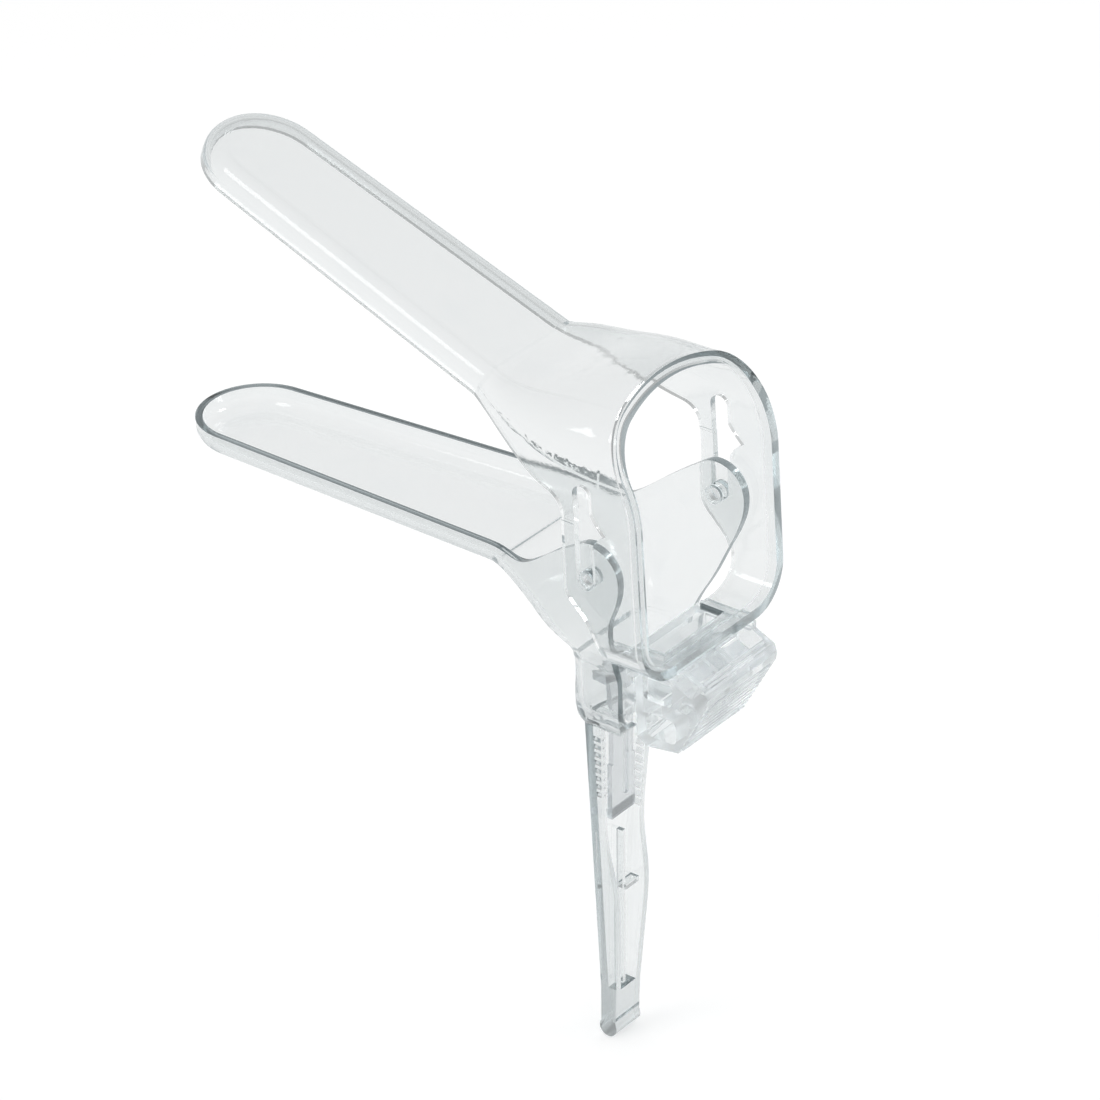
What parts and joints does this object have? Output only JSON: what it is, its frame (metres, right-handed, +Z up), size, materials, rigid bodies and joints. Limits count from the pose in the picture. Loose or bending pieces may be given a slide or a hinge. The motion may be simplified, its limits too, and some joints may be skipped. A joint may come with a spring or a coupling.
{
  "type": "bivalve speculum",
  "caption": "Clear plastic bivalve speculum with hinged upper blade, slotted yoke for height, thumb lever and channel handle.",
  "frame": {"origin": "middle of the pivot axis, halfway between the two round studs", "axes": "+Z up along the handle towards the blades, blades point to -X, +Y across the blades along the pivot axis"},
  "size_m": [0.1385, 0.048, 0.1841],
  "materials": {
    "clear_plastic": "gloss, clear moulded plastic",
    "clear_plastic_lever": "gloss, clear moulded plastic",
    "smoked_plastic": "gloss, darker clear plastic"
  },
  "bodies": {
    "lower": {"lower_blade": "clear_plastic", "channel_tongue": "smoked_plastic"},
    "studs": {"pivot_stud_left": "clear_plastic", "pivot_stud_right": "clear_plastic"},
    "upper": {"upper_blade": "clear_plastic", "thumb_lever": "clear_plastic_lever"}
  },
  "joints": [
    {"name": "blade_open", "type": "hinge", "parent": "lower", "child": "studs", "pos_m": [0, 0, 0], "axis": [0, 1, 0], "range_deg": [-21.5, 1]},
    {"name": "height_adjust", "type": "slide", "parent": "studs", "child": "upper", "axis": [-0.0611, 0, 0.9981], "range_m": [-0.019, 0]}
  ]
}
